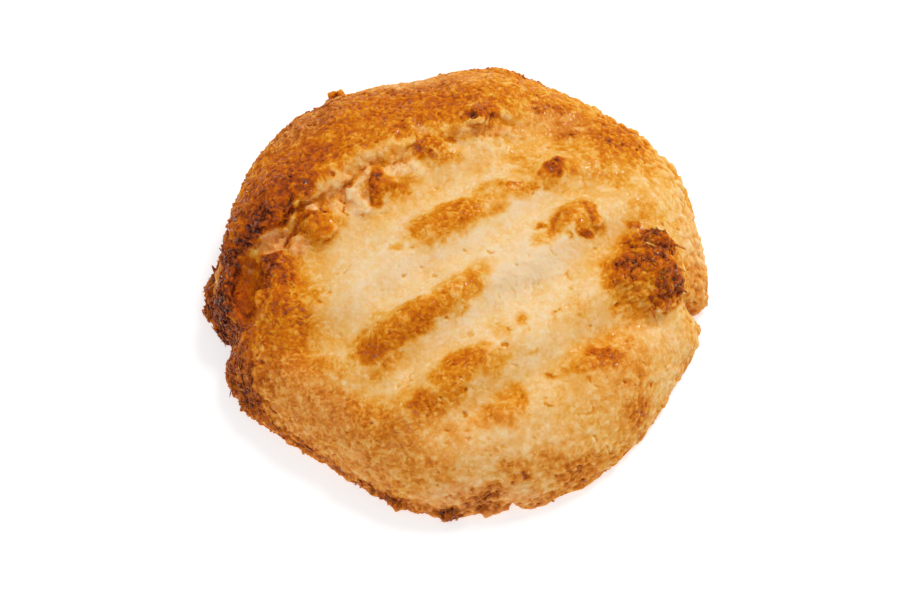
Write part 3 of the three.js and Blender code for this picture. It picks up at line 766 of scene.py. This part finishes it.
def body_relief(points, normals, brown, torn):
    """How far each point stands proud of the eased skin, in mm."""
    share = plan_share(points)
    side = smooth(share, 0.78, 0.98)
    back_edge = smooth(share, 0.9, 0.99) * smooth(points[:, 2], 1.0, 3.0) * smooth(points[:, 1], -6.0, 2.0)
    crust = smooth(brown, 0.3, 0.75)

    def height(on_dough, on_crust, on_side, on_back_edge):
        return on_dough + on_crust * crust + on_side * side + on_back_edge * back_edge

    swell = 0.16 * fold_noise(points, 4.2, 21, octaves=2)
    clumps = (clump_noise(points, 1.3, 22) - 0.6) * height(*CLUMP_HEIGHT)
    crumbs = fold_noise(points, 0.8, 23) * height(*CRUMB_HEIGHT)
    grain = fold_noise(points, 0.42, 24) * height(*GRAIN_HEIGHT)
    lump_clumps = 0.18 * (clump_noise(points, 1.1, 26) - 0.5) + 0.12 * flake_noise(points, 0.45, 27)
    ragged_foot = (1.0 - smooth(points[:, 2], 1.0, 2.4)) * side * 0.4 * fold_noise(points, 1.3, 30)
    burnt_flakes = 0.06 * flake_noise(jag(points), 1.2, 41) + 0.04 * flake_noise(points, 0.6, 42)
    relief = swell + clumps + crumbs + grain + lump_at(points) * lump_clumps + ragged_foot
    relief = relief + smooth(brown, 0.7, 0.85) * burnt_flakes
    along, across = tine_frame(points)
    broken = np.maximum(torn, bell(across - lip_line(along) - 0.6, 1.6) * lip_reach(along))
    ragged = jag(points)
    relief = relief + broken * (0.12 * flake_noise(ragged, 2.0, 33) + 0.07 * flake_noise(ragged, 0.9, 34))
    relief = relief - 0.20 * pores(points) - 0.10 * cracks(points)
    return relief * (1.0 - 0.8 * pocket_at(points)) * (1.0 - facing_down(normals))


def hollowness(mesh, rounds):
    """How far each point lies below its eased surroundings in mm: above 0 in creases, below 0 on crests."""
    ends = gather(mesh.edges, "vertices", 2, np.int32)
    first, second = ends.T
    points = mesh_points(mesh)
    neighbours = np.bincount(ends.ravel(), minlength=len(points))[:, None]
    eased = points
    for _ in range(rounds):
        total = np.empty_like(eased)
        for k in range(3):
            total[:, k] = np.bincount(first, eased[second, k], len(points))
            total[:, k] += np.bincount(second, eased[first, k], len(points))
        eased = total / neighbours
    return ((eased - points) * mesh_normals(mesh)).sum(axis=1)


# Grated coconut pressed into the crust: strips, each marked by a row of places along it
PRESSED_SHREDS = 14000
PRESSED_LENGTH = (0.5, 1.5)
PRESSED_WIDTH = (0.22, 0.34)
PRESSED_MARKS = 7


def press_shreds(points, normals, seed):
    """At each point, how far it stands over the edge of the strip that it lies on (0 to 1), and that
    strip's own shade (-1 to 1, 0 between the strips)."""
    picker = np.random.default_rng(seed)
    steps = np.linspace(-0.5, 0.5, PRESSED_MARKS)
    chosen = picker.choice(len(points), PRESSED_SHREDS)
    across = np.cross(normals[chosen], picker.normal(size=(PRESSED_SHREDS, 3)))
    across /= np.linalg.norm(across, axis=1, keepdims=True)
    reach = picker.uniform(*PRESSED_LENGTH, PRESSED_SHREDS)[:, None] * across
    half = picker.uniform(*PRESSED_WIDTH, PRESSED_SHREDS) / 2
    shade = picker.uniform(-1.0, 1.0, PRESSED_SHREDS)
    marks = (points[chosen][:, None, :] + reach[:, None, :] * steps[None, :, None]).reshape(-1, 3)
    tree = KDTree(len(marks))
    for index, mark in enumerate(marks):
        tree.insert(mark, index)
    tree.balance()
    found = [tree.find(p) for p in points]
    nearest = np.array([hit[1] for hit in found])
    distance = np.array([hit[2] for hit in found])
    strip = nearest // PRESSED_MARKS
    narrow = 1.0 - 0.5 * np.abs(2 * steps[nearest % PRESSED_MARKS]) ** 3
    round_top = np.sqrt(np.clip(1.0 - (distance / (half[strip] * narrow)) ** 2, 0.0, 1.0))
    return round_top, shade[strip] * np.minimum(1.0, 2.0 * round_top)


def thin_underside(body):
    """The flat underside needs far fewer faces than the crust."""
    points = mesh_points(body.data)
    flat = np.flatnonzero(points[:, 2] < UNDERSIDE_TOP)
    share = len(flat) / len(points)
    group = body.vertex_groups.new(name="underside")
    group.add([int(i) for i in flat], 1.0, "REPLACE")
    apply_modifier(
        body,
        "DECIMATE",
        ratio=1.0 - 0.9 * share,
        vertex_group="underside",
        vertex_group_factor=1.0,
        use_collapse_triangulate=True,
    )


def ease_crust(mesh):
    skin = bmesh.new()
    skin.from_mesh(mesh)
    ease_above(skin, UNDERSIDE_TOP, 1)
    skin.to_mesh(mesh)
    skin.free()


# Rounds of easing that show a point's close and its wider surroundings, and the painted shade that is added
# as browning for each mm that a crease lies below them; crests that stand above them are painted lighter, as
# painted light
CLOSE_ROUNDS = 4
WIDE_ROUNDS = 30
FINE_CREASE_SHADE = 1.0
BROAD_CREASE_SHADE = 0.45


def bake_body():
    """The whole cookie: the solid's form, torn, bitten, crumbled and browned, with painted shade in its
    creases and painted light on its crests.
    """
    body = new_piece("cookie_body", copy_solid("cookie"))
    remesh(body, FIRST_GRAIN)
    set_points(body.data, bite_edge(tear_lip(mesh_points(body.data))))
    remesh(body, GRAIN)
    thin_underside(body)
    ease_crust(body.data)
    points = mesh_points(body.data)
    normals = mesh_normals(body.data)
    brown = browning(points)
    torn = np.maximum.reduce([patch for patch, _, _ in breaks(points)])
    points = points + normals * body_relief(points, normals, brown, torn)[:, None]
    strips, strip_shade = press_shreds(points, normals, seed=4)
    open_crust = (1.0 - facing_down(normals)) * (1.0 - pocket_at(points)) * (1.0 - 0.6 * torn)
    proud = strips * (0.03 + 0.06 * smooth(brown, 0.25, 0.6)) * open_crust
    points = points + normals * proud[:, None]
    points[:, 2] = np.maximum(points[:, 2], 0.0)
    set_points(body.data, points)
    # Painted shade and light: creases are painted browner and crests lighter, into the painted browning
    fine = np.clip(hollowness(body.data, CLOSE_ROUNDS) * FINE_CREASE_SHADE, -0.12, 0.07)
    fine = fine * (1.0 - 0.5 * lump_at(points))
    most = 0.22 - 0.16 * smooth(brown, 0.5, 0.8)
    broad = np.clip(hollowness(body.data, WIDE_ROUNDS) * BROAD_CREASE_SHADE, -0.05, most)
    shades = strip_shade * 0.12 * (0.25 + brown - 0.4 * smooth(brown, 0.6, 0.9)) * open_crust
    paint(body.data, "browning", np.clip(brown + fine + broad + shades, 0.0, 1.0))
    paint(body.data, "inside", inside_share(points))
    apply_modifier(body, "DECIMATE", ratio=min(1.0, MOST_FACES / len(body.data.polygons)))
    shade_rounded(body.data)
    return body


# Shreds and crumbs ----------------------------------------------------------------------------------

DRY_BITS = 0.4  # share of the inside's colours on the loose bits
BITS_ON_LUMP = 0.52  # least browning of the bits on the burnt lump


def surface_places(body, count, seed, weight):
    """Places on the crust, as often as the weight of each face says: point, normal and browning, with the
    painted crease shade in it.
    """
    mesh = body.data
    mesh.calc_loop_triangles()
    corners = gather(mesh.loop_triangles, "vertices", 3, np.int32)
    points = mesh_points(mesh)
    normals = mesh_normals(mesh)
    values = gather(mesh.attributes["browning"].data, "value", 1)[:, 0]
    a, b, c = points[corners].transpose(1, 0, 2)
    area = np.linalg.norm(np.cross(b - a, c - a), axis=1) / 2
    middles = points[corners].mean(axis=1)
    chance = area * weight(middles, values[corners].mean(axis=1))
    picker = np.random.default_rng(seed)
    chosen = picker.choice(len(corners), size=count, p=chance / chance.sum())
    places = middles[chosen]
    brown = np.maximum(values[corners[chosen]].mean(axis=1), BITS_ON_LUMP * lump_at(places))
    return places, normals[corners[chosen]].mean(axis=1), brown, picker


def template(shape):
    """A small shape's points and faces, ready to be copied."""
    shape.verts.index_update()
    points = np.array([v.co[:] for v in shape.verts])
    faces = [[v.index for v in face.verts] for face in shape.faces]
    shape.free()
    return points, faces


def shred_template():
    """A three-sided strip of unit length, width and thickness along X, narrower at its ends."""
    strip = bmesh.new()
    bmesh.ops.create_cone(strip, cap_ends=True, segments=3, radius1=0.55, radius2=0.55, depth=1.0)
    for cut in (-0.28, 0.28):
        everything = strip.verts[:] + strip.edges[:] + strip.faces[:]
        bmesh.ops.bisect_plane(strip, geom=everything, plane_co=(0, 0, cut), plane_no=(0, 0, 1))
    lay_down = Matrix.Rotation(math.radians(90), 3, "Y") @ Matrix.Rotation(math.radians(-90), 3, "Z")
    bmesh.ops.rotate(strip, cent=(0, 0, 0), matrix=lay_down, verts=strip.verts)
    for v in strip.verts:
        narrow = 1.0 - 0.55 * abs(2 * v.co.x) ** 3
        v.co.y *= narrow
        v.co.z *= narrow
    return template(strip)


def crumb_template():
    """An angular grain of unit size."""
    grain = bmesh.new()
    bmesh.ops.create_icosphere(grain, subdivisions=1, radius=0.5)
    for v in grain.verts:
        v.co *= 1.0 + 0.7 * noise.noise(v.co * 2.7 + Vector((4.0, 1.0, 7.0)))
    return template(grain)


def arch(x):
    """A bow along a strip of unit length, about 0 on average."""
    return x * x - 0.08


def frames_on_crust(normals, picker, tilt):
    """Length, width and height directions of each copy: turned at random on the crust, then tilted out."""
    normals = normals / np.linalg.norm(normals, axis=1, keepdims=True)
    spin = picker.normal(size=normals.shape)
    across = np.cross(normals, spin)
    across /= np.linalg.norm(across, axis=1, keepdims=True)
    along = np.cross(across, normals)
    c, s = np.cos(tilt)[:, None], np.sin(tilt)[:, None]
    return [way[:, None, :] for way in (along * c + normals * s, across, normals * c - along * s)]


def join_copies(name, faces, placed, brown, rounded):
    """One mesh from many placed copies of a small shape, each with its own browning, all above the tray."""
    size = placed.shape[1]
    joined = [[i + copy * size for i in face] for copy in range(len(placed)) for face in faces]
    placed[:, :, 2] = np.maximum(placed[:, :, 2], 0.0)
    mesh = bpy.data.meshes.new(name)
    mesh.from_pydata((placed.reshape(-1, 3) * MM).tolist(), [], joined)
    mesh.update()
    shade_rounded(mesh, rounded)
    paint(mesh, "browning", np.repeat(np.clip(brown, 0.0, 1.0), size))
    paint(mesh, "inside", np.full(len(mesh.vertices), DRY_BITS))
    return new_piece(name, mesh)


def scatter_shreds(body, name, count, seed, weight, length, width, lift, tilt):
    """Short grated coconut, half sunk in the crust or standing out of it."""
    shape, faces = shred_template()
    points, normals, brown, picker = surface_places(body, count, seed, weight)
    long = picker.uniform(*length, count)[:, None, None]
    wide = picker.uniform(*width, count)[:, None, None]
    thick = wide * picker.uniform(0.3, 0.5, count)[:, None, None]
    along, across, up = frames_on_crust(normals, picker, np.radians(picker.uniform(*tilt, count)))
    bow = picker.uniform(-0.05, 0.32, count)[:, None, None]
    bend = picker.uniform(-0.35, 0.35, count)[:, None, None]
    rise = picker.uniform(*lift, count)[:, None, None]
    x, y, z = shape.T[:, None, :, None]
    placed = points[:, None, :] + along * x * long + across * (y * wide + bend * long * arch(x))
    placed = placed + up * (z * thick - bow * long * arch(x) + rise)
    shade = picker.normal(-0.02, 0.07, count)
    return join_copies(name, faces, placed, brown + shade * (0.3 + brown), rounded=True)


def scatter_crumbs(body, name, count, seed, weight, sizes):
    """Toasted crumbs that cling to the burnt parts and the rim."""
    shape, faces = crumb_template()
    points, normals, brown, picker = surface_places(body, count, seed, weight)
    size = picker.uniform(*sizes, count)[:, None, None]
    along, across, up = frames_on_crust(normals, picker, np.radians(picker.uniform(-60, 60, count)))
    stretch = picker.uniform(0.5, 1.7, (count, 3))[:, None, :]
    x, y, z = (shape[None, :, k : k + 1] * size * stretch[:, :, k : k + 1] for k in range(3))
    placed = points[:, None, :] + along * x + across * y + up * (z + 0.15 * size)
    shade = picker.normal(0.02, 0.06, count)
    return join_copies(name, faces, placed, brown + shade, rounded=False)


def where_shreds_stand(points, brown):
    return (0.4 * lump_at(points) + 0.3 * rim_at(points)) * smooth(brown, 0.6, 0.9)


def where_crumbs_cling(points, brown):
    return (0.1 + 0.2 * lump_at(points) + 0.3 * rim_at(points)) * smooth(brown, 0.5, 0.8)


# Longer shreds that stick out of the crust: place, length, width, turn in plan and rise in degrees, browning
STRAYS = [
    ("left thorn", -24.1, 1.9, 1.2, 1.5, 0.55, 118, 20, 0.80),
    ("left golden shred", -24.5, -0.1, 1.3, 1.7, 0.35, 200, 4, 0.46),
    ("curved flake in the bite", -21.9, -4.8, 4.9, 1.9, 0.6, -52, 12, 0.62),
    ("lump spike", 22.0, 1.4, 8.0, 1.4, 0.4, -30, 10, 0.66),
    ("lump second spike", 22.2, -3.0, 7.4, 1.1, 0.45, -40, 6, 0.78),
    ("lump front spike", 19.2, -5.6, 7.6, 1.2, 0.4, -70, -6, 0.66),
    ("lump pale shred", 17.6, 1.8, 10.6, 1.4, 0.25, -50, 4, 0.40),
    ("lump second pale shred", 18.9, 0.3, 10.8, 1.2, 0.25, -24, 6, 0.36),
]


def stray_shreds(name):
    shape, faces = shred_template()
    x, y, z = shape.T[:, :, None]
    placed = []
    for _, *place, long, wide, turn, rise, _ in STRAYS:
        turned, tilt = math.radians(turn), math.radians(rise)
        out = np.array([math.cos(turned) * math.cos(tilt), math.sin(turned) * math.cos(tilt), math.sin(tilt)])
        across = np.array([-math.sin(turned), math.cos(turned), 0.0])
        up = np.cross(out, across)
        bow = 0.18 * long * arch(x)
        width = wide * (1.0 - 0.5 * (x + 0.5))
        placed.append(np.array(place) + out * x * long + across * y * width + up * (z * 0.7 * width - bow))
    brown = [row[-1] for row in STRAYS]
    return join_copies(name, faces, np.array(placed), brown, rounded=True)


# Finishes -------------------------------------------------------------------------------------------


def linear(red, green, blue):
    """A colour from its usual 0 to 255 values to the amounts of light that a shader takes."""
    amounts = [c / 255 for c in (red, green, blue)]
    return [c / 12.92 if c <= 0.04045 else ((c + 0.055) / 1.055) ** 2.4 for c in amounts] + [1.0]


class Wire:
    """A socket's value in one finish; sums and products of wires add their Math nodes."""

    def __init__(self, finish, socket):
        self.finish = finish
        self.socket = socket

    def combine(self, operation, first, second):
        return self.finish.node("ShaderNodeMath", {"operation": operation}, {0: first, 1: second})

    def __add__(self, other):
        return self.combine("ADD", self, other)

    def __radd__(self, other):
        return self.combine("ADD", other, self)

    def __sub__(self, other):
        return self.combine("SUBTRACT", self, other)

    def __rsub__(self, other):
        return self.combine("SUBTRACT", other, self)

    def __mul__(self, other):
        return self.combine("MULTIPLY", self, other)

    def __rmul__(self, other):
        return self.combine("MULTIPLY", other, self)

    def ease(self, low, high):
        """0 at low, 1 at high, eased between."""
        settings = {"interpolation_type": "SMOOTHSTEP"}
        inputs = {"Value": self, "From Min": low, "From Max": high}
        return self.finish.node("ShaderNodeMapRange", settings, inputs)

    def also(self, output):
        """Another output of the node that this wire comes from."""
        return Wire(self.finish, self.socket.node.outputs[output])


# Sockets of a Mix node that mixes colours, whose names repeat
MIX_SHARE = 0
MIX_FIRST = 6
MIX_SECOND = 7
MIX_RESULT = 2


class Finish:
    """A material with its surface shader, and one way to add any other node."""

    def __init__(self, name):
        self.material = bpy.data.materials.new(name)
        self.material.use_nodes = True
        self.tree = self.material.node_tree
        self.surface = self.tree.nodes["Principled BSDF"]

    def node(self, kind, settings, inputs, output=0):
        made = self.tree.nodes.new(kind)
        for key, value in settings.items():
            if key == "stops":
                self.set_stops(made.color_ramp, value)
            else:
                setattr(made, key, value)
        for key, value in inputs.items():
            self.plug(made.inputs[key], value)
        return Wire(self, made.outputs[output])

    def set_stops(self, ramp, stops):
        while len(ramp.elements) < len(stops):
            ramp.elements.new(1.0)
        for element, (place, colour) in zip(ramp.elements, stops):
            element.position = place
            element.color = colour

    def plug(self, socket, value):
        if isinstance(value, Wire):
            self.tree.links.new(value.socket, socket)
        else:
            socket.default_value = value

    def shade(self, **inputs):
        for key, value in inputs.items():
            self.plug(self.surface.inputs[key.replace("_", " ")], value)

    def places(self):
        return self.node("ShaderNodeTexCoord", {}, {}, "Object")

    def painted(self, name):
        """A value that was painted on the piece."""
        return self.node("ShaderNodeAttribute", {"attribute_name": name}, {}, "Fac")

    def ramp(self, stops, share):
        return self.node("ShaderNodeValToRGB", {"stops": stops}, {"Fac": share}, "Color")

    def grain(self, places, size, detail=2.0):
        """Noise from 0 to 1 with lumps of about the given size in mm."""
        inputs = {"Vector": places, "Scale": 1.0 / (size * MM), "Detail": detail}
        return self.node("ShaderNodeTexNoise", {}, inputs, "Fac")

    def gaps(self, places, size):
        """0 at the middle of each packed grain of the given size in mm, about 1 in the gaps between them."""
        inputs = {"Vector": places, "Scale": 1.0 / (size * MM), "Randomness": 0.95}
        return self.node("ShaderNodeTexVoronoi", {"feature": "F1"}, inputs, "Distance")

    def one_by_one(self, gaps):
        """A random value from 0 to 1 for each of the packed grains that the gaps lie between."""
        return self.node("ShaderNodeSeparateColor", {}, {"Color": gaps.also("Color")}, "Red")

    def bend(self, places, size, reach):
        """Places pushed about by up to half the reach in mm, so that cells lose their straight edges."""
        inputs = {"Vector": places, "Scale": 1.0 / (size * MM), "Detail": 1.0}
        push = self.node("ShaderNodeTexNoise", {}, inputs, "Color")
        settings = {"operation": "MULTIPLY_ADD"}
        return self.node("ShaderNodeVectorMath", settings, {0: push, 1: (reach * MM,) * 3, 2: places})

    def mix(self, share, first, second):
        """A colour between two others."""
        inputs = {MIX_SHARE: share, MIX_FIRST: first, MIX_SECOND: second}
        return self.node("ShaderNodeMix", {"data_type": "RGBA"}, inputs, MIX_RESULT)

    def bump(self, height):
        """Surface relief from a height in mm."""
        inputs = {"Height": height, "Strength": 1.0, "Distance": MM}
        return self.node("ShaderNodeBump", {}, inputs, "Normal")


# Crust colour from pale dough to burnt
CRUST_COLOURS = [
    (0.00, linear(244, 216, 176)),
    (0.12, linear(243, 204, 144)),
    (0.24, linear(240, 188, 108)),
    (0.34, linear(236, 170, 68)),
    (0.46, linear(226, 143, 22)),
    (0.60, linear(211, 114, 4)),
    (0.75, linear(186, 87, 12)),
    (0.88, linear(150, 67, 22)),
    (1.00, linear(80, 29, 10)),
]

# The same for a fresh break
INSIDE_COLOURS = [
    (0.00, linear(247, 216, 170)),
    (0.15, linear(244, 202, 144)),
    (0.30, linear(237, 176, 106)),
    (0.45, linear(231, 151, 72)),
    (0.62, linear(198, 110, 28)),
    (0.80, linear(154, 74, 12)),
    (1.00, linear(96, 38, 8)),
]

# Sizes of what the crust is packed from
FINE_CRUMB = 0.20
COARSE_CRUMB = 0.8
PACKED_GRAIN = 0.42
SMALL_GRAIN = 0.24

WHITE = (1.0, 1.0, 1.0, 1.0)


def baked_dough(name, roughness, specular, glow, glow_reach):
    """Crumbly coconut crust: coloured by its browning and its painted crease shade, with packed grains whose
    tones differ at random and painted shade in the gaps between them.
    """
    crust = Finish(name)
    places = crust.places()
    brown = crust.painted("browning")
    fine = crust.grain(places, FINE_CRUMB)
    coarse = crust.grain(places, COARSE_CRUMB, 1.0)
    bent = crust.bend(places, 0.5, 0.22)
    gaps = crust.gaps(bent, PACKED_GRAIN)
    small_gaps = crust.gaps(bent, SMALL_GRAIN)
    light_grain = crust.one_by_one(gaps).ease(0.72, 0.95)
    small_grain = crust.one_by_one(small_gaps)
    glint = small_grain.ease(0.84, 0.92)
    # Random tone for each grain, and painted shade: the gaps between the grains are painted browner
    grain_tone_and_gap_shade = (small_grain - 0.5) * 0.12 + (coarse - 0.5) * 0.16 + (gaps - 0.5) * 0.10
    grain_tone_and_gap_shade = grain_tone_and_gap_shade - (light_grain - 0.2) * 0.18
    tone = brown + grain_tone_and_gap_shade * (0.24 + brown - brown.ease(0.60, 0.95) * 0.4)
    baked = crust.ramp(CRUST_COLOURS, tone)
    inside = crust.ramp(INSIDE_COLOURS, tone)
    strong = brown.ease(0.12, 0.55) * 0.65 + 0.35
    crust.shade(
        Base_Color=crust.mix(crust.painted("inside"), baked, inside),
        Roughness=roughness - 0.42 * glint * (0.3 + 0.7 * brown),
        Specular_IOR_Level=specular,
        Coat_Weight=glint * (0.2 + 0.8 * brown),
        Coat_Roughness=0.2,
        Subsurface_Weight=glow,
        Subsurface_Radius=(1.0, 0.42, 0.12),
        Subsurface_Scale=glow_reach * MM,
        Normal=crust.bump((gaps * -0.08 + small_gaps * -0.04 + fine * 0.03) * strong),
    )
    return crust.material


# Studio ---------------------------------------------------------------------------------------------

# The soft lamps, in metres and watts: place, width across, power
KEY_LAMP = ((0.20, 0.26, 0.42), 0.16, 1.48)
FILL_LAMP = ((-0.30, -0.40, 0.46), 0.5, 0.8)
SKY_STRENGTH = 0.48
TRAY_HALF_WIDTH = 1.5
TRAY_GREY = (0.62, 0.62, 0.62, 1.0)
TRAY_GLOW = 0.56  # so that the tray comes out nearly white

CAMERA_RISE = math.radians(65)  # over the tray, from the cookie's front
CAMERA_TARGET = Vector((-0.5, -2.5, 4.0)) * MM
CAMERA_DISTANCE = 0.247
LENS = 100
SENSOR_WIDTH = 36


def stand(thing, place, target):
    """Adds a lamp or camera to the scene, turned to its target."""
    thing.location = place
    thing.rotation_mode = "QUATERNION"
    thing.rotation_quaternion = (target - place).to_track_quat("-Z", "Y")
    bpy.context.scene.collection.objects.link(thing)


def soft_lamp(name, place, across, power):
    lamp = bpy.data.lights.new(name, "AREA")
    lamp.shape = "DISK"
    lamp.size = across
    lamp.energy = power
    stand(bpy.data.objects.new(name, lamp), Vector(place), (cad_low + cad_high) / 2)


def tray_white():
    tray = Finish("tray_white")
    tray.shade(
        Base_Color=TRAY_GREY,
        Roughness=0.7,
        Emission_Color=WHITE,
        Emission_Strength=TRAY_GLOW,
    )
    return tray.material


def set_tray():
    grid = bmesh.new()
    bmesh.ops.create_grid(grid, x_segments=1, y_segments=1, size=TRAY_HALF_WIDTH)
    mesh = bpy.data.meshes.new("tray")
    grid.to_mesh(mesh)
    grid.free()
    mesh.materials.append(tray_white())
    tray = new_piece("tray", mesh)


def set_sky():
    sky = bpy.data.worlds.new("studio")
    sky.use_nodes = True
    background = sky.node_tree.nodes["Background"]
    background.inputs["Color"].default_value = WHITE
    background.inputs["Strength"].default_value = SKY_STRENGTH
    bpy.context.scene.world = sky
    bpy.context.scene.view_settings.view_transform = "Standard"


def set_camera():
    lens = bpy.data.cameras.new("camera")
    lens.lens = LENS
    lens.sensor_width = SENSOR_WIDTH
    lens.clip_start = 0.01
    camera = bpy.data.objects.new("camera", lens)
    back = Vector((0.0, -math.cos(CAMERA_RISE), math.sin(CAMERA_RISE)))
    stand(camera, CAMERA_TARGET + back * CAMERA_DISTANCE, CAMERA_TARGET)
    bpy.context.scene.camera = camera


# The cookie -----------------------------------------------------------------------------------------


def dress(piece, finish):
    piece.data.materials.clear()
    piece.data.materials.append(finish)
    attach(piece, "root")
    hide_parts("cookie")


body = bake_body()
proud_shreds = scatter_shreds(
    body,
    "standing_shreds",
    count=420,
    seed=2,
    weight=where_shreds_stand,
    length=(0.5, 1.4),
    width=(0.14, 0.26),
    lift=(0.0, 0.12),
    tilt=(0, 24),
)
crumbs = scatter_crumbs(
    body,
    "toasted_crumbs",
    count=1500,
    seed=3,
    weight=where_crumbs_cling,
    sizes=(0.16, 0.34),
)
dress(body, baked_dough("crust", roughness=0.68, specular=0.08, glow=0.6, glow_reach=0.9))
dough_bits = baked_dough("toasted_coconut", roughness=0.50, specular=0.26, glow=0.5, glow_reach=0.25)
for piece in (proud_shreds, crumbs, stray_shreds("stray_shreds")):
    dress(piece, dough_bits)
set_tray()
soft_lamp("key", *KEY_LAMP)
soft_lamp("fill", *FILL_LAMP)
set_sky()
set_camera()
